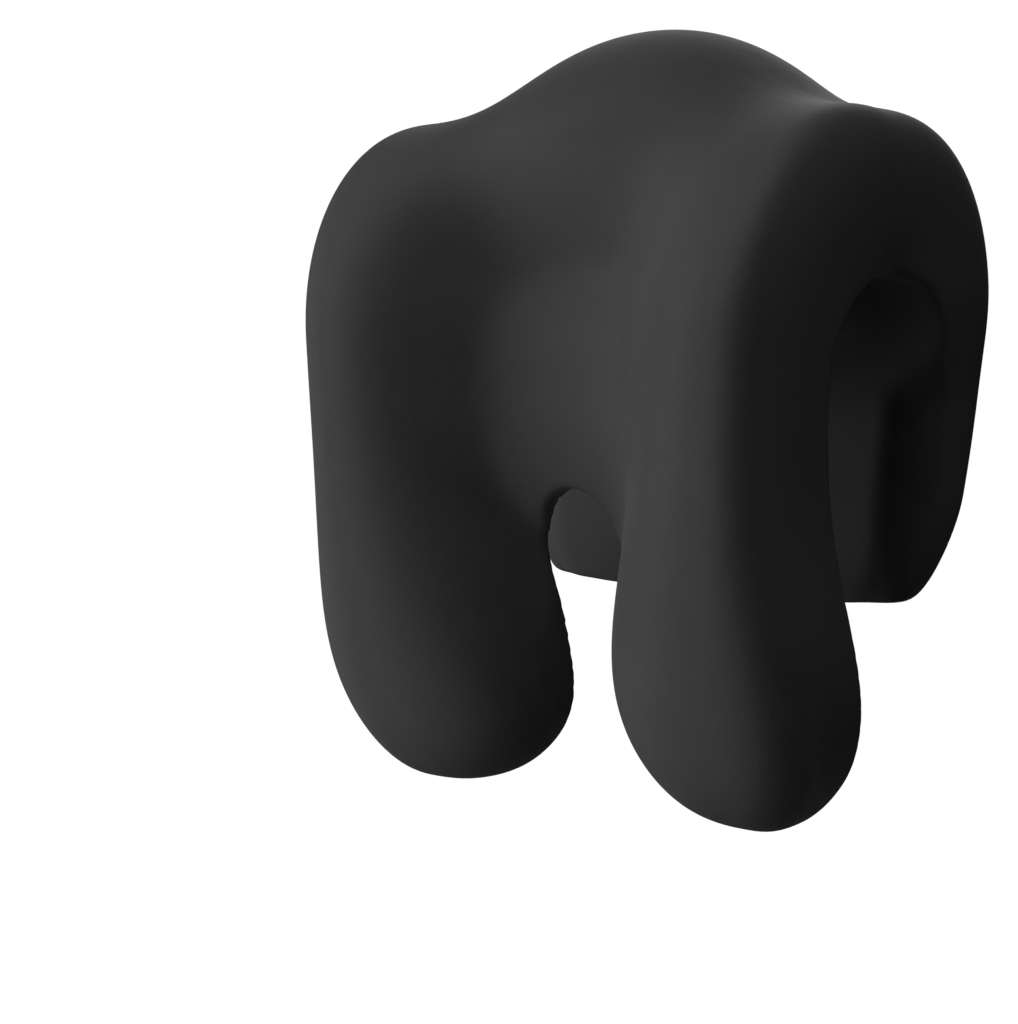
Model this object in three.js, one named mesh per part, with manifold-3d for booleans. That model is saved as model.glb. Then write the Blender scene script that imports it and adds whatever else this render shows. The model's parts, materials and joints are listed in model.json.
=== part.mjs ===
// Chair headrest attachment: a moulded foam saddle that hooks over the top edge of a chair back.
// Two padded legs and a hump make the head side, a wide flap hangs behind, and a spring armature
// inside the foam bends at the flap, so that the slot between them can open and close.
import * as THREE from "three";
import { mergeVertices } from "three/addons/utils/BufferGeometryUtils.js";
import Module from "manifold-3d";

const wasm = await Module();
wasm.setup();

// Driving dimensions in millimetres. X runs across the headrest, the head side faces -Y, and
// heights are measured up from the tips of the legs until the last lines move the frame.
const SADDLE = {
  halfWidth: 73.8, // outer side of a leg at middle height
  middle: 91.7,
  spread: 6.2, // how much further out a leg's centre lies at twice the middle height
  sideRound: 15.8, // rounding of the outer sides
  innerRound: 31, // half width of a leg on the gap's side
  skew: 7.7, // how much that half width changes from the slot's wall to the outer skin
  toeSwell: 13.5, // widening near a leg's foot
  toeHeight: 20.2,
  toeReach: 47.5,
  frontDepth: 33.2,
  topDepth: 23.4,
  rearDepth: 38.3,
  rearPower: 1.51, // how fast the depth grows from the top to the rear
  legTip: 93.9, // height over which a leg rounds off
  flapBottom: 50.6,
  flapTip: 29.4, // height over which the flap rounds off
  sectionPower: 2.6,
  sidePower: 2.6, // squareness of the outer sides
  valleyLow: 141.7, // the valley between the legs fades out from here...
  valleyHigh: 197.1, // ...up to here
};
// Half width over which the valley's floor is rounded: narrow at the feet, wide above the gap.
const FLOOR = { low: 2.5, high: 42.1, from: 51.7, over: 58.3 };
const CORE = { half: 33.2, rise: 36, spring: 125.9, tuckFront: 12.3, tuckRear: 43.5, power: 2 };
const SLOT = { half: 32.4, rise: 26.5, spring: 117.6, tuckFront: 30.2, tuckRear: 0.5, power: 2 };
const HUMP = { halfWidth: 42.2, halfDepth: 42.5, halfHeight: 36.1, back: 12.4, height: 173.6 };
// The flap's sides, which are round in section from "top" less "over" downward.
const FLANK = {
  top: 142,
  over: 34,
  reach: 46, // distance across over which the roundness sets in
  narrow: 4.1,
  early: 14, // how much sooner the slot's side rounds off than the outer side
  soften: 0.85, // roundness of the lower corners
  lift: 2.2, // how much higher the lower corners lie than the middle
  square: 5, // crispness of the lower edge on the slot's side
};
const WEB = { depth: 7.5, below: 20, fade: 25, inset: 30 }; // thin foam between the legs
const GAP = { half: 10.1, top: 86.7, flare: -0.5 };
const BLEND = { web: 9.5, hump: 33.8, behindFrom: -6.7, behindOver: 25 };

const CROWN_HALF = 5; // half width of the flat land at the top of the slot
const FLEX = { low: 104, high: 116, gap: 0.3 }; // band of foam that gives when the flap bends
const STRIP = { inner: 7, thick: 0.8, width: 20, centreX: 45, frontEnd: 34, rearEnd: 80 };
const PLATE = { thick: 1.2, halfWidth: 58, rearLow: 88, rearHigh: 100, bridgeHalf: 8 };
const RIVET = { shank: 2, head: 3.6, headThick: 1, offsetX: 5.5, sides: 12 };
const CAP = { wall: 1.4, length: 7, beyond: 3 };
const CLEAR = 0.3; // gap between pieces that touch
const POCKET = 0.6; // room in the foam round the armature
const CELL = 6.5; // mesh cell of the foam's surface
const FRONT_SOFT = 0.173; // how gently the front's depth sets in at the top

const smoothStep = (t) => {
  const s = Math.min(Math.max(t, 0), 1);
  return s * s * (3 - 2 * s);
};

function smoothMin(a, b, reach) {
  const h = Math.max(reach - Math.abs(a - b), 0) / reach;
  return Math.min(a, b) - (h * h * h * reach) / 6;
}

// Half width of an arch's opening on one side at a height below its spring line.
function archWall(arch, y, z) {
  const down = Math.min(Math.max((arch.spring - z) / arch.spring, 0), 1.3);
  return arch.half - (y < 0 ? arch.tuckFront : arch.tuckRear) * down * down;
}

// Distance outward from an arch-shaped profile that is open at the bottom.
function archDistance(arch, y, z) {
  const up = z - arch.spring;
  if (up <= 0) return Math.abs(y) - archWall(arch, y, z);
  const u = Math.abs(y) / arch.half;
  const v = up / arch.rise;
  const n = arch.power;
  const r = Math.pow(Math.pow(u, n) + Math.pow(v, n), 1 / n) + 1e-9;
  const steepness = Math.hypot(Math.pow(u, n - 1) / arch.half, Math.pow(v, n - 1) / arch.rise);
  return ((r - 1) * Math.pow(r, n - 1)) / (steepness + 1e-9);
}

// The foam's outer form, negative inside, before the slot and the gap are cut.
function foamField(x, y, z) {
  const fold = FLOOR.low + (FLOOR.high - FLOOR.low) * smoothStep((z - FLOOR.from) / FLOOR.over);
  const across = Math.abs(x) < fold ? (x ** 2 / fold + fold) / 2 : Math.abs(x);
  const out = archDistance(CORE, y, z);
  const forward = -y / CORE.half;
  const upward = Math.max(z - CORE.spring, 0) / CORE.rise;
  const facing = forward / Math.hypot(forward, upward, 1e-4);
  const front = Math.max(facing, 0);
  const s = SADDLE;
  const rear = Math.max(-facing, 0) ** s.rearPower;
  const softFront = (facing + Math.hypot(facing, FRONT_SOFT)) / 2;
  const depth =
    s.topDepth + (s.frontDepth - s.topDepth) * softFront + (s.rearDepth - s.topDepth) * rear;
  const legCentre = s.halfWidth - s.sideRound + s.spread * (z / s.middle - 1);
  const side = across - legCentre;
  const fading = 1 - smoothStep((z - s.valleyLow) / (s.valleyHigh - s.valleyLow));
  const valley = fading * smoothStep(front * 1.6);
  const swell = s.toeSwell * Math.exp(-(((z - s.toeHeight) / s.toeReach) ** 2)) * front;
  const skew = s.skew * (1 - 2 * Math.min(Math.max(out / depth, 0), 1));
  const inward = (Math.sqrt(valley) * side) / (s.innerRound + swell + skew);
  const behind = smoothStep((y - BLEND.behindFrom) / BLEND.behindOver);
  const below = smoothStep((FLANK.top - z) / FLANK.over);
  const flank = behind * below * smoothStep((side + FLANK.reach) / FLANK.reach);
  const fromSlot = archDistance(SLOT, y, z);
  const middle = (flank * (out - fromSlot + depth)) / 2;
  const through = (out - middle) / (depth - middle);
  const near = smoothStep(-1.5 * through);
  const early = FLANK.early * flank * near;
  const roundOff = s.sideRound + swell - FLANK.narrow * flank + early;
  const sideways = side + early > 0 ? (side + early) / roundOff : inward;
  const tip = s.legTip + behind * (s.flapTip - s.legTip);
  const end = Math.max(behind * (s.flapBottom + FLANK.lift * flank) + tip - z, 0) / tip;
  const q = (side > 0 ? s.sidePower : s.sectionPower) - 0.6 * flank * near;
  const level = (Math.abs(sideways) ** q + Math.abs(through) ** q) ** (1 / q);
  const corner = smoothStep((side + FLANK.early) / (FLANK.early + 2));
  const crisp = FLANK.square * near * (1 - corner);
  const p = s.sectionPower + flank * (crisp - FLANK.soften * corner);
  const section = (level ** p + end ** p) ** (1 / p);
  const shell = (section - 1) * Math.min(depth, s.sideRound);
  const webEnd = Math.max(GAP.top + WEB.below - z, 0) / WEB.fade;
  const webSide = Math.max(across - legCentre + WEB.inset, 0) / WEB.fade;
  const webOut = fromSlot / WEB.depth;
  const web = (Math.hypot(webSide, webOut, webEnd) - 1) * WEB.depth;
  const humpAt = [
    x / HUMP.halfWidth,
    (y - HUMP.back) / HUMP.halfDepth,
    (z - HUMP.height) / HUMP.halfHeight,
  ];
  const humpScale = Math.min(HUMP.halfWidth, HUMP.halfDepth, HUMP.halfHeight);
  const hump = (Math.hypot(...humpAt) - 1) * humpScale;
  return smoothMin(smoothMin(shell, web, BLEND.web), hump, BLEND.hump);
}

// Closed surface of a field by surface nets, with each vertex moved onto the zero level.
function surfaceNet(field, low, high, cell) {
  const count = low.map((l, i) => Math.ceil((high[i] - l) / cell) + 1);
  const at = (i, j, k) => (k * count[1] + j) * count[0] + i;
  const values = new Float64Array(count[0] * count[1] * count[2]);
  for (let k = 0; k < count[2]; k++)
    for (let j = 0; j < count[1]; j++)
      for (let i = 0; i < count[0]; i++)
        values[at(i, j, k)] = field(low[0] + i * cell, low[1] + j * cell, low[2] + k * cell);
  const corners = [0, 1, 2, 3, 4, 5, 6, 7].map((n) => [n & 1, (n >> 1) & 1, n >> 2]);
  const edges = [];
  corners.forEach((a, m) =>
    [1, 2, 4].forEach((bit) => {
      if (!(m & bit)) edges.push([a, corners[m | bit]]);
    }),
  );
  const vertexOf = new Map();
  const positions = [];
  for (let k = 0; k < count[2] - 1; k++)
    for (let j = 0; j < count[1] - 1; j++)
      for (let i = 0; i < count[0] - 1; i++) {
        const sum = [0, 0, 0];
        let crossings = 0;
        for (const [a, b] of edges) {
          const va = values[at(i + a[0], j + a[1], k + a[2])];
          const vb = values[at(i + b[0], j + b[1], k + b[2])];
          if (va < 0 === vb < 0) continue;
          const t = va / (va - vb);
          for (let c = 0; c < 3; c++) sum[c] += a[c] + t * (b[c] - a[c]);
          crossings++;
        }
        if (!crossings) continue;
        const index = [i, j, k];
        const point = sum.map((v, c) => low[c] + (index[c] + v / crossings) * cell);
        vertexOf.set(at(i, j, k), positions.length / 3);
        positions.push(...ontoSurface(field, point, cell / 2));
      }
  const triangles = [];
  const steps = [
    [1, 0, 0],
    [0, 1, 0],
    [0, 0, 1],
  ];
  for (let k = 1; k < count[2] - 1; k++)
    for (let j = 1; j < count[1] - 1; j++)
      for (let i = 1; i < count[0] - 1; i++)
        for (let axis = 0; axis < 3; axis++) {
          const inside = values[at(i, j, k)] < 0;
          const step = steps[axis];
          if (inside === values[at(i + step[0], j + step[1], k + step[2])] < 0) continue;
          const b = steps[(axis + 1) % 3];
          const c = steps[(axis + 2) % 3];
          const corner = (m, n) =>
            vertexOf.get(at(i - m * b[0] - n * c[0], j - m * b[1] - n * c[1], k - m * b[2] - n * c[2]));
          const quad = [corner(0, 0), corner(1, 0), corner(1, 1), corner(0, 1)];
          if (!inside) quad.reverse();
          triangles.push(quad[0], quad[1], quad[2], quad[0], quad[2], quad[3]);
        }
  const geometry = new THREE.BufferGeometry();
  geometry.setAttribute("position", new THREE.Float32BufferAttribute(positions, 3));
  return geometry.setIndex(triangles);
}

// A few Newton steps from a point to the field's zero level, no further than reach.
function ontoSurface(field, start, reach) {
  const point = [...start];
  const h = 0.05;
  for (let turn = 0; turn < 4; turn++) {
    const value = field(...point);
    const slope = point.map((_, c) => {
      const ahead = point.map((v, n) => v + (n === c ? h : 0));
      return (field(...ahead) - value) / h;
    });
    const square = slope.reduce((total, v) => total + v * v, 1e-9);
    point.forEach((_, c) => (point[c] -= (value * slope[c]) / square));
  }
  const moved = Math.hypot(...point.map((v, c) => v - start[c]));
  return moved < reach ? point : start.map((v, c) => v + ((point[c] - v) * reach) / moved);
}

// A three.js geometry as a manifold-3d solid, and back.
function solidFrom(geometry) {
  const bare = geometry.clone();
  bare.deleteAttribute("normal");
  bare.deleteAttribute("uv");
  const merged = mergeVertices(bare, 1e-4);
  return new wasm.Manifold(
    new wasm.Mesh({
      numProp: 3,
      vertProperties: new Float32Array(merged.attributes.position.array),
      triVerts: new Uint32Array(merged.index.array),
    }),
  );
}

function geometryFrom(solid) {
  const mesh = solid.getMesh();
  const geometry = new THREE.BufferGeometry();
  geometry.setAttribute("position", new THREE.BufferAttribute(mesh.vertProperties, 3));
  geometry.setIndex(new THREE.BufferAttribute(mesh.triVerts, 1));
  geometry.computeVertexNormals();
  return geometry;
}

// A closed outline of [y, z] points, extruded along X from one x to another.
function prismAcross(outline, fromX, toX) {
  const shape = new THREE.Shape(outline.map(([y, z]) => new THREE.Vector2(y, z)));
  const geometry = new THREE.ExtrudeGeometry(shape, { depth: toX - fromX, bevelEnabled: false });
  geometry.applyMatrix4(
    new THREE.Matrix4().set(0, 0, 1, fromX, 1, 0, 0, 0, 0, 1, 0, 0, 0, 0, 0, 1),
  );
  return solidFrom(geometry);
}

const block = (low, high) =>
  solidFrom(
    new THREE.BoxGeometry(...high.map((v, i) => v - low[i])).translate(
      ...high.map((v, i) => (v + low[i]) / 2),
    ),
  );

// Points of the slot's profile from a front height, over the crown, to a rear height,
// moved outward by an offset. Each entry holds the point and its outward normal.
function slotLine(frontHeight, rearHeight, offset, stepLength = 9) {
  const points = [];
  const wall = (side, from, to) => {
    const turns = Math.max(2, Math.round(Math.abs(to - from) / stepLength));
    for (let i = 0; i <= turns; i++) {
      const z = from + ((to - from) * i) / turns;
      points.push([side * archWall(SLOT, side, z), z]);
    }
  };
  wall(-1, frontHeight, SLOT.spring);
  const arcs = 7;
  const crownAngle = Math.asin(CROWN_HALF / SLOT.half);
  const turn = Math.PI / 2 - crownAngle;
  for (let i = 1; i <= arcs; i++) {
    const a = (turn * i) / arcs;
    points.push([-SLOT.half * Math.cos(a), SLOT.spring + SLOT.rise * Math.sin(a)]);
  }
  for (let i = arcs; i >= 1; i--) {
    const a = (turn * i) / arcs;
    points.push([SLOT.half * Math.cos(a), SLOT.spring + SLOT.rise * Math.sin(a)]);
  }
  wall(1, SLOT.spring, rearHeight);
  return points.map(([y, z], i) => {
    const before = points[Math.max(i - 1, 0)];
    const after = points[Math.min(i + 1, points.length - 1)];
    const along = new THREE.Vector2(after[0] - before[0], after[1] - before[1]).normalize();
    return [y - along.y * offset, z + along.x * offset];
  });
}

// A strip of the slot's wall between two offsets, from a front height to a rear height.
function ribbon(inner, outer, frontHeight, rearHeight, fromX, toX) {
  const near = slotLine(frontHeight, rearHeight, inner);
  const far = slotLine(frontHeight, rearHeight, outer);
  return prismAcross([...near, ...far.reverse()], fromX, toX);
}

// A flat-ish piece on one wall only, side -1 for the front and 1 for the rear.
function wallPiece(side, inner, outer, low, high, fromX, toX) {
  const turns = 4;
  const edge = (offset) =>
    Array.from({ length: turns + 1 }, (_, i) => {
      const z = low + ((high - low) * i) / turns;
      return offsetWall(side, z, offset);
    });
  return prismAcross([...edge(inner), ...edge(outer).reverse()], fromX, toX);
}

// A point of one wall at a height, moved out of the slot along the wall's normal.
function offsetWall(side, z, offset) {
  const lean = wallLean(side, z);
  return [side * archWall(SLOT, side, z) + side * offset * Math.cos(lean), z - offset * Math.sin(lean)];
}

// How far a wall leans into the slot at a height, in radians.
function wallLean(side, z) {
  return Math.atan(archWall(SLOT, side, z + 0.5) - archWall(SLOT, side, z - 0.5));
}

const joined = (solids) => solids.reduce((all, one) => all.add(one));

const STRIP_OUTER = STRIP.inner + STRIP.thick;
const PLATE_INNER = STRIP_OUTER + CLEAR;
const PLATE_OUTER = PLATE_INNER + PLATE.thick;
const CROWN = SLOT.spring + SLOT.rise * Math.cos(Math.asin(CROWN_HALF / SLOT.half));
const strips = { left: -STRIP.centreX, right: STRIP.centreX };
const stripEnds = { front: { side: -1, end: STRIP.frontEnd }, rear: { side: 1, end: STRIP.rearEnd } };

function stripSolid(centreX, grow = 0) {
  const half = STRIP.width / 2 + grow;
  const front = STRIP.frontEnd - grow;
  const rear = STRIP.rearEnd - grow;
  const low = STRIP.inner - grow;
  return ribbon(low, STRIP_OUTER + grow, front, rear, centreX - half, centreX + half);
}

// The two plates that tie the strips together. Each has its own solid and the point and
// direction of its rivets: the point lies on the slot's wall.
const plates = {
  bridge: {
    solid(grow = 0) {
      const x = PLATE.halfWidth + grow;
      const y = PLATE.bridgeHalf + grow;
      return block([-x, -y, CROWN + PLATE_INNER - grow], [x, y, CROWN + PLATE_OUTER + grow]);
    },
    point: [0, CROWN],
    normal: [0, 1],
  },
  rear: {
    solid(grow = 0) {
      const x = PLATE.halfWidth + grow;
      const low = PLATE.rearLow - grow;
      return wallPiece(1, PLATE_INNER - grow, PLATE_OUTER + grow, low, PLATE.rearHigh + grow, -x, x);
    },
    point: offsetWall(1, (PLATE.rearLow + PLATE.rearHigh) / 2, 0),
    normal: [1, 0],
  },
};

// A round piece along a plate's normal, turned from [radius, offset] points that start and end
// on the axis.
function turned({ point, normal }, x, profile) {
  const lathe = new THREE.LatheGeometry(
    profile.map((p) => new THREE.Vector2(...p)),
    RIVET.sides,
  );
  const axis = new THREE.Vector3(0, ...normal);
  lathe.applyQuaternion(new THREE.Quaternion().setFromUnitVectors(new THREE.Vector3(0, 1, 0), axis));
  return solidFrom(lathe.translate(x, ...point));
}

function rivetSolid(plate, x, grow = 0) {
  const low = STRIP.inner - CLEAR;
  const high = PLATE_OUTER + CLEAR;
  return turned(plate, x, [
    [0, low - RIVET.headThick - grow],
    [RIVET.head + grow, low - RIVET.headThick - grow],
    [RIVET.head + grow, low + grow],
    [RIVET.shank + grow, low + grow],
    [RIVET.shank + grow, high - grow],
    [RIVET.head + grow, high - grow],
    [RIVET.head + grow, high + RIVET.headThick + grow],
    [0, high + RIVET.headThick + grow],
  ]);
}

function rivetHole(plate, x) {
  const radius = RIVET.shank + CLEAR;
  return turned(plate, x, [
    [0, STRIP.inner - 2],
    [radius, STRIP.inner - 2],
    [radius, PLATE_OUTER + 2],
    [0, PLATE_OUTER + 2],
  ]);
}

function capSolid({ side, end }, centreX, grow = 0) {
  const wall = CAP.wall + grow;
  const half = STRIP.width / 2 + CLEAR + wall;
  const inner = STRIP.inner - CLEAR - wall;
  const outer = STRIP_OUTER + CLEAR + wall;
  const low = end - CAP.beyond - grow;
  const high = end + CAP.length + grow;
  return wallPiece(side, inner, outer, low, high, centreX - half, centreX + half);
}

const foamMaterial = new THREE.MeshStandardMaterial({ color: 0x232324, roughness: 0.78, metalness: 0 });
const steelMaterial = new THREE.MeshStandardMaterial({ color: 0x9a9da1, roughness: 0.35, metalness: 1 });
const rubberMaterial = new THREE.MeshStandardMaterial({ color: 0x1a1a1a, roughness: 0.9, metalness: 0 });

const saddleBody = new THREE.Group();
const flapBody = new THREE.Group();

function place(group, name, solid, material) {
  const mesh = new THREE.Mesh(geometryFrom(solid), material);
  mesh.name = name;
  group.add(mesh);
}

// Every rivet: two through each strip on each plate.
const rivets = [];
for (const [plateName, plate] of Object.entries(plates))
  for (const [sideName, centreX] of Object.entries(strips))
    for (const [spot, turn] of Object.entries({ inner: -1, outer: 1 })) {
      const x = centreX + turn * Math.sign(centreX) * RIVET.offsetX;
      rivets.push({ name: `rivet_${plateName}_${sideName}_${spot}`, plateName, sideName, plate, x });
    }

// The foam: outer form, less the slot, the gap and the pocket round the armature.
const FAR = 240;
const UNDER = -40;
const slotCut = prismAcross(slotLine(UNDER, UNDER, 0), -FAR, FAR);
const gapSpring = GAP.top - GAP.half;
const gapFoot = GAP.half - (GAP.flare * (gapSpring - UNDER)) / 100;
const gapShape = new THREE.Shape();
gapShape.moveTo(gapFoot, UNDER);
gapShape.lineTo(GAP.half, gapSpring);
gapShape.absarc(0, gapSpring, GAP.half, 0, Math.PI, false);
gapShape.lineTo(-gapFoot, UNDER);
const gapOptions = { depth: FAR, bevelEnabled: false, curveSegments: 14 };
const gapCut = solidFrom(new THREE.ExtrudeGeometry(gapShape, gapOptions).rotateX(Math.PI / 2));

const pocket = joined([
  ...Object.values(strips).map((x) => stripSolid(x, POCKET)),
  ...Object.values(plates).map((plate) => plate.solid(POCKET)),
  ...rivets.map(({ plate, x }) => rivetSolid(plate, x, POCKET)),
  ...Object.values(stripEnds).flatMap((end) =>
    Object.values(strips).map((x) => capSolid(end, x, CLEAR)),
  ),
]);
const blank = solidFrom(surfaceNet(foamField, [-100, -92, -20], [100, 92, 228], CELL));
const foam = blank.subtract(slotCut).subtract(gapCut).subtract(pocket);
const behindSlot = (low, high) => block([-FAR, 0, low], [FAR, FAR, high]);
place(saddleBody, "foam_saddle", foam.subtract(behindSlot(-FAR, FLEX.high)), foamMaterial);
const bandSlab = behindSlot(FLEX.low, FLEX.high - FLEX.gap);
place(saddleBody, "foam_flex_band", foam.intersect(bandSlab), foamMaterial);
const flapSlab = behindSlot(-FAR, FLEX.low - FLEX.gap);
place(flapBody, "foam_rear_flap", foam.intersect(flapSlab), foamMaterial);

// The armature: two spring strips that follow the slot, tied together by the plates.
for (const [name, centreX] of Object.entries(strips)) {
  const here = rivets.filter(({ sideName }) => sideName === name);
  const holes = joined(here.map(({ plate, x }) => rivetHole(plate, x)));
  place(saddleBody, `spring_strip_${name}`, stripSolid(centreX).subtract(holes), steelMaterial);
}
for (const [name, plate] of Object.entries(plates)) {
  const group = name === "rear" ? flapBody : saddleBody;
  const here = rivets.filter(({ plateName }) => plateName === name);
  const holes = joined(here.map(({ x }) => rivetHole(plate, x)));
  place(group, `${name}_plate`, plate.solid().subtract(holes), steelMaterial);
  for (const rivet of here) place(group, rivet.name, rivetSolid(plate, rivet.x), steelMaterial);
}
for (const [endName, end] of Object.entries(stripEnds))
  for (const [sideName, centreX] of Object.entries(strips)) {
    const group = endName === "rear" ? flapBody : saddleBody;
    const cap = capSolid(end, centreX).subtract(stripSolid(centreX, CLEAR));
    place(group, `end_cap_${endName}_${sideName}`, cap, rubberMaterial);
  }

const headrest = new THREE.Group();
headrest.add(saddleBody, flapBody);
// The frame's origin is the flat land at the top of the slot, where the chair back bears.
headrest.position.z = -CROWN;

export default headrest;
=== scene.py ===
import json
import math

import bpy
import numpy as np
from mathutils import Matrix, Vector


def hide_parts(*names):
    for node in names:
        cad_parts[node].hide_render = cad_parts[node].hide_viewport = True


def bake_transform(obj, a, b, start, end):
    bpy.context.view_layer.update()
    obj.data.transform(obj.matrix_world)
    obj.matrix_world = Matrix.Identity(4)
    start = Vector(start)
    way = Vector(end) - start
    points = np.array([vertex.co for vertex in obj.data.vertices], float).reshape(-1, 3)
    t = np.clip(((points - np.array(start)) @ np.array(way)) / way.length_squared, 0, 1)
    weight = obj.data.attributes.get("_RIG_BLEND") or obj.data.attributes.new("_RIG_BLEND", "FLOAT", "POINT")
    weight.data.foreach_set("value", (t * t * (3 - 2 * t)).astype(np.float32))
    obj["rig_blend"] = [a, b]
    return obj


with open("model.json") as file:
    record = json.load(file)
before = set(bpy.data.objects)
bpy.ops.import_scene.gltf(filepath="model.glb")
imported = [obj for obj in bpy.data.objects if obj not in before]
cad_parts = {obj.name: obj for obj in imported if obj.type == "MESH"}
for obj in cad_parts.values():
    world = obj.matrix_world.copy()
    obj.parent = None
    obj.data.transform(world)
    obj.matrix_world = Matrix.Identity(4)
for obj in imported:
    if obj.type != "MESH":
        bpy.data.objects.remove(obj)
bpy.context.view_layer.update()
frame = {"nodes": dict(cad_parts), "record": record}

# The moulded foam in millimetres. Heights are above the leg tips, X runs across, the head side faces -Y.

# Across: the half width at the height MIDDLE, how much it grows upwards, and the sides' rounding.
HALF_WIDTH = 73.8
MIDDLE = 91.7
SPREAD = 6.2
SIDE_ROUND = 15.8
INNER_ROUND = 31
# The legs swell round this height, and the swell fades over TOE_REACH.
TOE_SWELL = 13.5
TOE_HEIGHT = 20.2
TOE_REACH = 47.5
# The foam's thickness round the core arch: on the head side, over the crown and behind.
FRONT_DEPTH = 33.2
TOP_DEPTH = 23.4
REAR_DEPTH = 38.3
REAR_POWER = 1.51
FRONT_SOFT = 0.173  # how gently the front's depth sets in at the top
# The lengths over which the legs' tips and the flap's lower edge round off.
LEG_TIP = 93.9
FLAP_BOTTOM = 50.6
FLAP_TIP = 29.4
# Superellipse powers of the section, and how much fuller it is on its inner side.
SECTION_POWER = 2.6
SIDE_POWER = 2.6
SKEW = 7.7
# The valley between the legs: it ends between two heights, and its floor is rounder higher up.
VALLEY_LOW = 141.7
VALLEY_HIGH = 197.1
VALLEY_RISE = 1.6
CENTRE_ROUND = 2.5
VALLEY_ROUND = 42.1
ROUND_FROM = 51.7
ROUND_OVER = 58.3
# Arches across Y: half span, rise over the springing height, and how far each wall tucks in lower down.
CORE = dict(half=33.2, rise=36, spring=125.9, tuck_front=12.3, tuck_rear=43.5, power=2)
SLOT = dict(half=32.4, rise=26.5, spring=117.6, tuck_front=30.2, tuck_rear=0.5, power=2)
TUCK_LIMIT = 1.3
CROWN_HALF = 5
CROWN = SLOT["spring"] + SLOT["rise"] * math.cos(math.asin(CROWN_HALF / SLOT["half"]))
CROWN_SOFT = 4
HUMP = dict(half_width=42.2, half_depth=42.5, half_height=36.1, back=12.4, height=173.6)
HUMP_BLEND = 33.8
# The flap's sides: where they begin, how much narrower and rounder they are, and how crisp the lower
# edge stays on the slot's side.
FLANK = dict(top=142, over=34, reach=46, narrow=4.1, early=4, soften=0.85, lift=1.5, square=3)
FLANK_NEAR = 1.5
FLANK_EASE = 0.6
CORNER = dict(start=-2, over=14)
BEHIND_FROM = -6.7
BEHIND_OVER = 25
# The web that closes the front between the legs, and the gap below it.
WEB_DEPTH = 7.5
WEB_BELOW = 20
WEB_FADE = 25
WEB_INSET = 30
WEB_BLEND = 9.5
GAP_HALF = 10.1
GAP_TOP = 86.7
GAP_FLARE = -0.5  # narrowing of each side per 100 mm down from the gap's arch
# Rounding where the slot and the gap meet the outer skin, and where it grows: the flap's two sides
# and the legs' tips. Each pair says where the growth sets in, and over how much more it is whole.
EDGE = 2.6
FLAP_EDGE = 7
TOE_EDGE = 4
FLAP_ZONE = dict(behind=(10, 15), below=(135, 25), beside=(52, 12))
TOE_ZONE = dict(before=(5, 10), below=(48, 30))

# The mesh of the skin: its cell, the box that is searched, and the turns of evening out.
CELL = 1.4
BOX_LOW = [-86.1, -80, -5]
BOX_HIGH = [86.1, 80, 218]
PROBE = 0.05
SNAP_TURNS = 4
RELAX_TURNS = 3
TINY = 1e-9

# The heights between which the rear wall bends, and the hinge's depth behind the origin in metres.
FLEX_FROM, FLEX_TO = 140, 78
HINGE_DEPTH = 0.0398


def smooth_step(t):
    s = np.clip(t, 0, 1)
    return s * s * (3 - 2 * s)


def smooth_min(a, b, reach):
    h = np.maximum(reach - np.abs(a - b), 0) / reach
    return np.minimum(a, b) - h**3 * reach / 6


def arch_distance(arch, y, z):
    """Distance from an arch that runs along X, negative inside it."""
    down = np.clip((arch["spring"] - z) / arch["spring"], 0, TUCK_LIMIT)
    wall = arch["half"] - np.where(y < 0, arch["tuck_front"], arch["tuck_rear"]) * down**2
    power = arch["power"]
    u = np.abs(y) / arch["half"]
    v = np.maximum(z - arch["spring"], 0) / arch["rise"]
    radius = (u**power + v**power) ** (1 / power) + TINY
    steep = np.hypot(u ** (power - 1) / arch["half"], v ** (power - 1) / arch["rise"])
    over = (radius - 1) * radius ** (power - 1) / (steep + TINY)
    return np.where(z <= arch["spring"], np.abs(y) - wall, over)


def foam_depth(facing):
    """The foam's thickness round the core, for directions from 1 (head side) over 0 (up) to -1 (rear)."""
    soft_front = (facing + np.hypot(facing, FRONT_SOFT)) / 2
    rear = np.maximum(-facing, 0) ** REAR_POWER
    return TOP_DEPTH + (FRONT_DEPTH - TOP_DEPTH) * soft_front + (REAR_DEPTH - TOP_DEPTH) * rear


def web_form(across, centre, from_slot, z):
    web_end = np.maximum(GAP_TOP + WEB_BELOW - z, 0) / WEB_FADE
    web_side = np.maximum(across - centre + WEB_INSET, 0) / WEB_FADE
    web_out = from_slot / WEB_DEPTH
    return (np.sqrt(web_side**2 + web_out**2 + web_end**2) - 1) * WEB_DEPTH


def hump_form(x, y, z):
    level = np.sqrt(
        (x / HUMP["half_width"]) ** 2
        + ((y - HUMP["back"]) / HUMP["half_depth"]) ** 2
        + ((z - HUMP["height"]) / HUMP["half_height"]) ** 2
    )
    return (level - 1) * min(HUMP["half_width"], HUMP["half_depth"], HUMP["half_height"])


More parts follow.
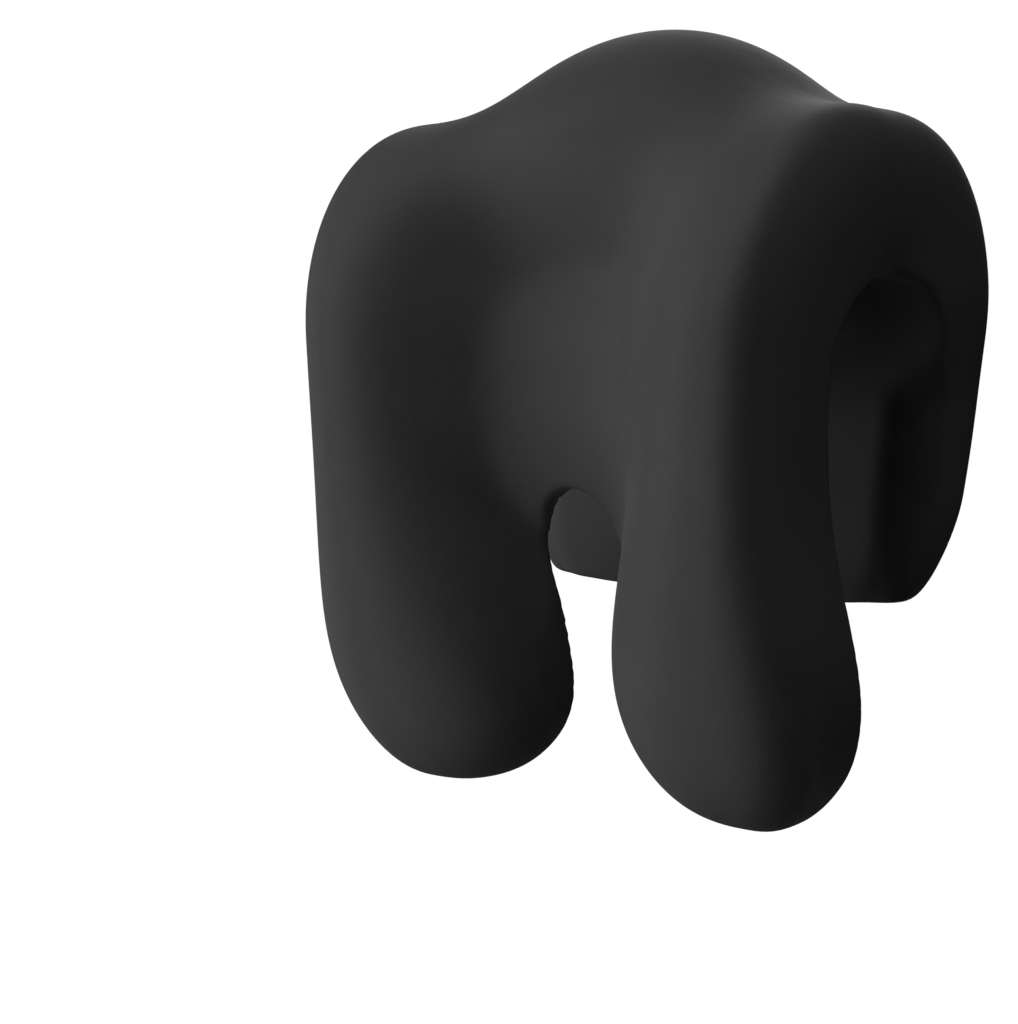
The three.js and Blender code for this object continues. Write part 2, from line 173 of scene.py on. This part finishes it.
def outer_form(x, y, z):
    """The foam's outside without slot and gap: a padded arch with a valley, a web and a hump."""
    across = np.abs(x)
    fold = CENTRE_ROUND + (VALLEY_ROUND - CENTRE_ROUND) * smooth_step((z - ROUND_FROM) / ROUND_OVER)
    across = np.where(across < fold, (x**2 / fold + fold) / 2, across)
    outward = arch_distance(CORE, y, z)
    forward = -y / CORE["half"]
    upward = np.maximum(z - CORE["spring"], 0) / CORE["rise"]
    facing = forward / np.sqrt(forward**2 + upward**2 + TINY)
    front = np.maximum(facing, 0)
    depth = foam_depth(facing)

    # Across the arch: rounded sides, and inner sides that slope into the valley.
    centre = HALF_WIDTH - SIDE_ROUND + SPREAD * (z / MIDDLE - 1)
    side = across - centre
    valley = 1 - smooth_step((z - VALLEY_LOW) / (VALLEY_HIGH - VALLEY_LOW))
    valley = valley * smooth_step(front * VALLEY_RISE)
    swell = TOE_SWELL * np.exp(-(((z - TOE_HEIGHT) / TOE_REACH) ** 2)) * front
    skew = SKEW * (1 - 2 * np.clip(outward / depth, 0, 1))
    inward = np.sqrt(valley) * side / (INNER_ROUND + swell + skew)

    # Towards the flap's sides the section is centred on the foam between the slot and the outside.
    behind = smooth_step((y - BEHIND_FROM) / BEHIND_OVER)
    flank = behind * smooth_step((FLANK["top"] - z) / FLANK["over"])
    flank = flank * smooth_step((side + FLANK["reach"]) / FLANK["reach"])
    from_slot = arch_distance(SLOT, y, z)
    middle = flank * (outward - from_slot + depth) / 2
    through = (outward - middle) / (depth - middle)
    near = smooth_step(-FLANK_NEAR * through)
    early = FLANK["early"] * flank * near
    round_off = SIDE_ROUND + swell - FLANK["narrow"] * flank + early
    sideways = np.where(side + early > 0, (side + early) / round_off, inward)

    # The legs' tips and the flap's lower edge.
    tip = LEG_TIP + behind * (FLAP_TIP - LEG_TIP)
    end = np.maximum(behind * (FLAP_BOTTOM + FLANK["lift"] * flank) + tip - z, 0) / tip

    side_power = np.where(side > 0, SIDE_POWER, SECTION_POWER) - FLANK_EASE * flank * near
    level = (np.abs(sideways) ** side_power + np.abs(through) ** side_power) ** (1 / side_power)
    corner = smooth_step((side - CORNER["start"]) / CORNER["over"])
    crisp = FLANK["square"] * near * (1 - corner) - FLANK["soften"] * corner
    end_power = SECTION_POWER + flank * crisp
    section = (level**end_power + end**end_power) ** (1 / end_power)
    shell = (section - 1) * np.minimum(depth, SIDE_ROUND)

    padded = smooth_min(shell, web_form(across, centre, from_slot, z), WEB_BLEND)
    return smooth_min(padded, hump_form(x, y, z), HUMP_BLEND)


def past(value, zone):
    """Rises from 0 to 1 as value climbs from zone[0] to zone[1] above it."""
    return smooth_step((value - zone[0]) / zone[1])


def short_of(value, zone):
    """Rises from 0 to 1 as value drops from zone[0] to zone[1] below it."""
    return smooth_step((zone[0] - value) / zone[1])


def moulding(p):
    """Distance-like field of the whole foam moulding, negative inside, at points p of shape (n, 3)."""
    x, y, z = p[:, 0], p[:, 1], p[:, 2]
    slot = -smooth_min(-arch_distance(SLOT, y, z), CROWN - z, CROWN_SOFT)
    spring = GAP_TOP - GAP_HALF
    wall = np.abs(x) - (GAP_HALF - GAP_FLARE * (spring - z) / 100)
    gap = np.where(z < spring, wall, np.hypot(x, z - spring) - GAP_HALF)
    cut = np.minimum(slot, np.maximum(gap, y))
    rear = past(y, FLAP_ZONE["behind"]) * short_of(z, FLAP_ZONE["below"])
    rear = rear * past(np.abs(x), FLAP_ZONE["beside"])
    toe = short_of(y, TOE_ZONE["before"]) * short_of(z, TOE_ZONE["below"])
    edge = EDGE + (FLAP_EDGE - EDGE) * rear + (TOE_EDGE - EDGE) * toe
    return -smooth_min(-outer_form(x, y, z), cut, edge)


def slope(p):
    """The moulding field's gradient at points p."""
    grad = np.empty_like(p)
    for c in range(3):
        step = np.zeros(3)
        step[c] = PROBE
        grad[:, c] = (moulding(p + step) - moulding(p - step)) / (2 * PROBE)
    return grad


def onto_skin(p, reach):
    """Points p moved onto the moulding's skin, none of them further than reach."""
    start = p.copy()
    for _ in range(SNAP_TURNS):
        grad = slope(p)
        p = p - grad * (moulding(p) / ((grad**2).sum(1) + TINY))[:, None]
        move = p - start
        far = np.linalg.norm(move, axis=1)
        p = start + move * np.minimum(1, reach / np.maximum(far, TINY))[:, None]
    return p


def sampled(low, high, cell):
    """The moulding's field at the points of a grid."""
    axes = [np.arange(low[c], high[c] + cell, cell) for c in range(3)]
    values = np.empty([len(axis) for axis in axes])
    y, z = np.meshgrid(axes[1], axes[2], indexing="ij")
    for i, x in enumerate(axes[0]):
        plane = np.stack([np.full(y.size, x), y.ravel(), z.ravel()], 1)
        values[i] = moulding(plane).reshape(y.shape)
    return values


def crossings(values):
    """For each grid cell, how many of its edges cross the skin and the sum of the crossings' places."""
    cells = [n - 1 for n in values.shape]
    hits = np.zeros(cells)
    total = np.zeros(cells + [3])
    for axis in range(3):
        others = [c for c in range(3) if c != axis]
        for shifts in ((0, 0), (0, 1), (1, 0), (1, 1)):
            at = [slice(0, n) for n in cells]
            for other, shift in zip(others, shifts):
                at[other] = slice(shift, shift + cells[other])
            ahead = list(at)
            ahead[axis] = slice(1, 1 + cells[axis])
            here, there = values[tuple(at)], values[tuple(ahead)]
            cross = (here < 0) != (there < 0)
            hits += cross
            total[..., axis] += np.where(cross, here / np.where(cross, here - there, 1), 0)
            for other, shift in zip(others, shifts):
                total[..., other] += shift * cross
    return hits, total


def quads_between(inside, index):
    """A quad for each grid edge that crosses the skin, joining the four cells round the edge."""
    quads = []
    for axis in range(3):
        at = [slice(1, n - 1) for n in inside.shape]
        ahead = list(at)
        ahead[axis] = slice(2, inside.shape[axis])
        cross = np.argwhere(inside[tuple(at)] != inside[tuple(ahead)]) + 1
        corners = []
        for shifts in ((0, 0), (1, 0), (1, 1), (0, 1)):
            neighbour = cross.copy()
            neighbour[:, (axis + 1) % 3] -= shifts[0]
            neighbour[:, (axis + 2) % 3] -= shifts[1]
            corners.append(index[tuple(neighbour.T)])
        quad = np.stack(corners, 1)
        leaving = inside[tuple(cross.T)]
        quad[~leaving] = quad[~leaving][:, ::-1]
        quads.append(quad)
    return np.concatenate(quads)


def surface_net(low, high, cell):
    """Vertices and quads of the moulding's skin by surface nets."""
    values = sampled(low, high, cell)
    hits, total = crossings(values)
    used = hits > 0
    index = -np.ones(used.shape, int)
    index[used] = np.arange(used.sum())
    places = np.argwhere(used) + total[used] / hits[used][:, None]
    return np.array(low) + places * cell, quads_between(values < 0, index)


def relaxed(points, quads, turns):
    """Evens out the mesh: each point moves halfway to its neighbours' middle, then back onto the skin."""
    pairs = np.concatenate([quads[:, [k, (k + 1) % 4]] for k in range(4)])
    pairs = np.concatenate([pairs, pairs[:, ::-1]])
    count = np.bincount(pairs[:, 0], minlength=len(points))[:, None]
    for _ in range(turns):
        middle = np.zeros_like(points)
        for c in range(3):
            middle[:, c] = np.bincount(pairs[:, 0], points[pairs[:, 1], c], len(points))
        points = onto_skin(points + 0.5 * (middle / count - points), CELL)
    return points


def to_frame(points):
    """Millimetres above the leg tips to metres in the frame, whose origin is the slot's crown."""
    return (np.asarray(points, float) - np.array([0, 0, CROWN])) / 1000


def add_object(name, data):
    made = bpy.data.objects.new(name, data)
    bpy.context.scene.collection.objects.link(made)
    return made


def smooth_mesh(name, points, faces):
    mesh = bpy.data.meshes.new(name)
    mesh.from_pydata([tuple(p) for p in points], [], [tuple(int(i) for i in f) for f in faces])
    mesh.validate()
    mesh.polygons.foreach_set("use_smooth", [True] * len(mesh.polygons))
    mesh.update()
    return mesh


# Materials


class Nodes:
    """A small helper that adds and links shader nodes of one material."""

    def __init__(self, name):
        self.material = bpy.data.materials.new(name)
        self.material.use_nodes = True
        self.tree = self.material.node_tree
        self.tree.nodes.clear()
        output = self.add("ShaderNodeOutputMaterial")
        self.shader = self.add("ShaderNodeBsdfPrincipled")
        self.feed(output.inputs["Surface"], self.shader.outputs[0])
        self.place = self.add("ShaderNodeTexCoord").outputs["Object"]

    def add(self, kind, **inputs):
        node = self.tree.nodes.new(kind)
        for name, value in inputs.items():
            self.feed(node.inputs[name.replace("_", " ")], value)
        return node

    def feed(self, socket, value):
        """Gives an input socket a plain value, or a link from an output socket."""
        if isinstance(value, bpy.types.NodeSocket):
            self.tree.links.new(value, socket)
        else:
            socket.default_value = value

    def surface(self, **inputs):
        for name, value in inputs.items():
            self.feed(self.shader.inputs[name.replace("_", " ")], value)

    def noise(self, scale, detail=3, rough=0.5, stretch=None):
        at = self.place
        if stretch:
            at = self.add("ShaderNodeMapping", Vector=at, Scale=stretch).outputs[0]
        node = self.add("ShaderNodeTexNoise", Vector=at, Scale=scale, Detail=detail, Roughness=rough)
        return node.outputs["Fac"]

    def grain(self, scale):
        node = self.add("ShaderNodeTexVoronoi", Vector=self.place, Scale=scale)
        node.feature = "SMOOTH_F1"
        return node.outputs["Distance"]

    def ramp(self, value, low, high, to_low, to_high):
        limits = dict(From_Min=low, From_Max=high, To_Min=to_low, To_Max=to_high)
        return self.add("ShaderNodeMapRange", Value=value, **limits).outputs["Result"]

    def mix(self, amount, first, second):
        node = self.tree.nodes.new("ShaderNodeMix")
        node.data_type = "RGBA"
        for socket, value in ((0, amount), (6, first), (7, second)):
            self.feed(node.inputs[socket], value)
        return node.outputs[2]

    def plus(self, first, second):
        node = self.tree.nodes.new("ShaderNodeMath")
        node.operation = "ADD"
        self.feed(node.inputs[0], first)
        self.feed(node.inputs[1], second)
        return node.outputs[0]

    def bump(self, height, distance, strength=1.0, **normal):
        node = self.add("ShaderNodeBump", Strength=strength, Distance=distance, Height=height, **normal)
        return node.outputs[0]


def grey(value):
    """A dark neutral colour with a trace of blue."""
    return (value, value, value * 1.01, 1)


def foam_skin():
    n = Nodes("foam_skin")
    broad = n.noise(28, 3, 0.55)
    fine = n.noise(900, 4, 0.6)
    pores = n.grain(2400)
    tone = n.mix(n.ramp(broad, 0.35, 0.65, 0, 1), grey(0.026), grey(0.033))
    tone = n.mix(n.ramp(fine, 0.4, 0.7, 0, 0.35), tone, grey(0.043))
    rough = n.plus(n.ramp(fine, 0.3, 0.7, 0.62, 0.74), n.ramp(broad, 0.3, 0.7, -0.03, 0.03))
    soft = n.bump(n.noise(160, 2, 0.5), 0.00012)
    skin = n.bump(n.ramp(pores, 0, 0.6, 0, 1), 0.00005, 0.6, Normal=soft)
    n.surface(Base_Color=tone, Roughness=rough, Normal=n.bump(fine, 0.00006, 0.5, Normal=skin))
    n.surface(Specular_IOR_Level=0.32, Sheen_Weight=0.08, Sheen_Roughness=0.6)
    return n.material


def spring_steel():
    n = Nodes("spring_steel")
    lines = n.noise(260, 4, 0.6, (1, 0.04, 0.04))
    cloud = n.noise(60, 3)
    tone = n.mix(n.ramp(cloud, 0.35, 0.7, 0, 1), grey(0.50), (0.42, 0.43, 0.45, 1))
    n.surface(Base_Color=tone, Metallic=1.0)
    n.surface(Roughness=n.ramp(lines, 0.3, 0.7, 0.25, 0.45), Normal=n.bump(lines, 0.00003, 0.5))
    return n.material


def cap_rubber():
    n = Nodes("cap_rubber")
    cloud = n.noise(140, 4, 0.6)
    tone = n.mix(n.ramp(cloud, 0.3, 0.7, 0, 1), grey(0.018), grey(0.028))
    n.surface(Base_Color=tone, Roughness=n.ramp(cloud, 0.3, 0.7, 0.7, 0.85))
    n.surface(Normal=n.bump(n.noise(700, 3), 0.00008, 0.6))
    return n.material


FOAM, STEEL, RUBBER = foam_skin(), spring_steel(), cap_rubber()
MATERIALS = {"foam_skin": FOAM, "spring_steel": STEEL, "cap_rubber": RUBBER}
for row in frame["record"]["subparts"]:
    data = frame["nodes"][row["node"]].data
    data.materials.clear()
    data.materials.append(MATERIALS[row["material_slot"]])

# The foam skin is one closed moulding from the head side over the crown to the flap's edge.
points, quads = surface_net(BOX_LOW, BOX_HIGH, CELL)
points = relaxed(onto_skin(points, CELL), quads, RELAX_TURNS)
skin = add_object("foam_moulding", smooth_mesh("foam_moulding", to_frame(points), quads))
skin.data.materials.append(FOAM)


def bend(piece):
    """Bends a piece over the slot's rear wall. What lies in front of the slot stays with the saddle."""
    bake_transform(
        piece,
        "saddle",
        "rear_flap",
        start=(0, HINGE_DEPTH, (FLEX_FROM - CROWN) / 1000),
        end=(0, HINGE_DEPTH, (FLEX_TO - CROWN) / 1000),
    )
    weights = np.zeros(len(piece.data.vertices), np.float32)
    held = piece.data.attributes["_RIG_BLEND"].data
    held.foreach_get("value", weights)
    depth = np.array([v.co.y for v in piece.data.vertices])
    held.foreach_set("value", np.where(depth > 0, weights, 0).astype(np.float32))


bend(skin)
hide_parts("foam_saddle", "foam_flex_band", "foam_rear_flap")

# The spring strips bend with the flap, so they are copies that blend across the joint.
for side in ("left", "right"):
    node = frame["nodes"]["spring_strip_" + side]
    strip = add_object("bending_strip_" + side, node.data.copy())
    bend(strip)
    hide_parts(node.name)

# Floor, light and camera

WHITE = (1, 1, 1, 1)
FLOOR_COLOUR = (0.96, 0.96, 0.96, 1)
FLOOR_GLOW = 1.08
GLOW_SHARE = 0.98
FLOOR_DEPTH = -0.42
FLOOR_RADIUS = 14
SEEN_STRENGTH = 1.02  # the studio behind the object, as the camera sees it
FELT_STRENGTH = 0.01  # and what it adds to the light on the object


def mixed(tree, output, amount, first, second):
    """Mixes two shaders into a new node of the kind output; amount is a number or a socket."""
    mix = tree.nodes.new("ShaderNodeMixShader")
    if isinstance(amount, bpy.types.NodeSocket):
        tree.links.new(amount, mix.inputs[0])
    else:
        mix.inputs[0].default_value = amount
    tree.links.new(first.outputs[0], mix.inputs[1])
    tree.links.new(second.outputs[0], mix.inputs[2])
    tree.links.new(mix.outputs[0], tree.nodes.new(output).inputs["Surface"])


def coloured(tree, kind, colour, strength=None):
    node = tree.nodes.new(kind)
    node.inputs["Color"].default_value = colour
    if strength is not None:
        node.inputs["Strength"].default_value = strength
    return node


def floor_white():
    """A pale surface that is mostly its own light, so that it looks even from every side."""
    material = bpy.data.materials.new("floor_white")
    material.use_nodes = True
    tree = material.node_tree
    tree.nodes.clear()
    diffuse = coloured(tree, "ShaderNodeBsdfDiffuse", FLOOR_COLOUR)
    glow = coloured(tree, "ShaderNodeEmission", FLOOR_COLOUR, FLOOR_GLOW)
    mixed(tree, "ShaderNodeOutputMaterial", GLOW_SHARE, diffuse, glow)
    return material


bpy.ops.mesh.primitive_circle_add(
    vertices=96, radius=FLOOR_RADIUS, fill_type="NGON", location=(0, 0, FLOOR_DEPTH)
)
floor = bpy.context.object
floor.name = "floor"
floor.data.materials.append(floor_white())
floor.visible_diffuse = False
floor.visible_glossy = False


def studio_world():
    world = bpy.data.worlds.new("studio")
    world.use_nodes = True
    tree = world.node_tree
    tree.nodes.clear()
    felt = coloured(tree, "ShaderNodeBackground", WHITE, FELT_STRENGTH)
    seen = coloured(tree, "ShaderNodeBackground", WHITE, SEEN_STRENGTH)
    path = tree.nodes.new("ShaderNodeLightPath")
    mixed(tree, "ShaderNodeOutputWorld", path.outputs["Is Camera Ray"], felt, seen)
    return world


bpy.context.scene.world = studio_world()

# Softboxes round the object: degrees from the front towards +X, degrees up, and watts.
SOFTBOXES = {
    "key": (-50, 15, 7.6),
    "key_low": (-50, -28, 2.9),
    "side_low": (-80, -25, 1.5),
    "front_low": (5, -25, 5.6),
    "front_high": (5, 50, 4.6),
    "side_high": (-45, 50, 1.5),
    "top": (0, 88, 2.1),
    "rim": (115, 15, 1.1),
    "bounce": (-5, -60, 4.6),
    "back": (205, 25, 4.0),
}
SOFTBOX_SIZE = 0.8
SOFTBOX_DISTANCE = 1.3
SOFTBOX_AIM = Vector((0, 0, -0.04))
# A narrow lamp on the left side that shines through the slot, onto the flap's inner face: metres,
# degrees and watts.
SPOT_AIM = Vector((0.045, 0.030, -0.057))
SPOT_AZIMUTH = -74
SPOT_DISTANCE = 1
SPOT_POWER = 36
SPOT_WIDTH = 2.4
SPOT_BLEND = 0.5
SPOT_SOFTNESS = 0.03


def around(azimuth, height):
    """A direction from the object: degrees from the front towards +X, and degrees up."""
    turn, up = math.radians(azimuth), math.radians(height)
    return Vector((math.sin(turn) * math.cos(up), -math.cos(turn) * math.cos(up), math.sin(up)))


def add_lamp(data, aim, direction, distance):
    lamp = add_object(data.name, data)
    lamp.location = aim + direction * distance
    lamp.rotation_euler = (-direction).to_track_quat("-Z", "Y").to_euler()
    return lamp


for name, (azimuth, height, power) in SOFTBOXES.items():
    panel = bpy.data.lights.new(name, "AREA")
    panel.shape = "SQUARE"
    panel.size = SOFTBOX_SIZE
    panel.energy = power
    softbox = add_lamp(panel, SOFTBOX_AIM, around(azimuth, height), SOFTBOX_DISTANCE)
    softbox.visible_camera = False

beam = bpy.data.lights.new("through_slot", "SPOT")
beam.energy = SPOT_POWER
beam.spot_size = math.radians(SPOT_WIDTH)
beam.spot_blend = SPOT_BLEND
beam.shadow_soft_size = SPOT_SOFTNESS
add_lamp(beam, SPOT_AIM, around(SPOT_AZIMUTH, 0), SPOT_DISTANCE)

# The camera looks from the front right, a little down, and aims beside the object's middle. Its
# distance and the step aside are in metres, the height and the lens in millimetres.
AZIMUTH = math.radians(37)
DOWN = math.radians(6.16)
DISTANCE = 0.6137
AIM_ASIDE = -0.03815
AIM_HEIGHT = 77.66
SENSOR = 36
LENS = 77.8

right = Vector((math.cos(AZIMUTH), math.sin(AZIMUTH), 0))
forward = Vector(
    (-math.sin(AZIMUTH) * math.cos(DOWN), math.cos(AZIMUTH) * math.cos(DOWN), -math.sin(DOWN))
)
aim = right * AIM_ASIDE + Vector((0, 0, (AIM_HEIGHT - CROWN) / 1000))
camera_data = bpy.data.cameras.new("camera")
camera_data.sensor_fit = "HORIZONTAL"
camera_data.sensor_width = SENSOR
camera_data.lens = LENS
camera = add_object("camera", camera_data)
camera.location = aim - forward * DISTANCE
camera.rotation_euler = forward.to_track_quat("-Z", "Y").to_euler()
bpy.context.scene.camera = camera
bpy.context.scene.view_settings.view_transform = "Standard"
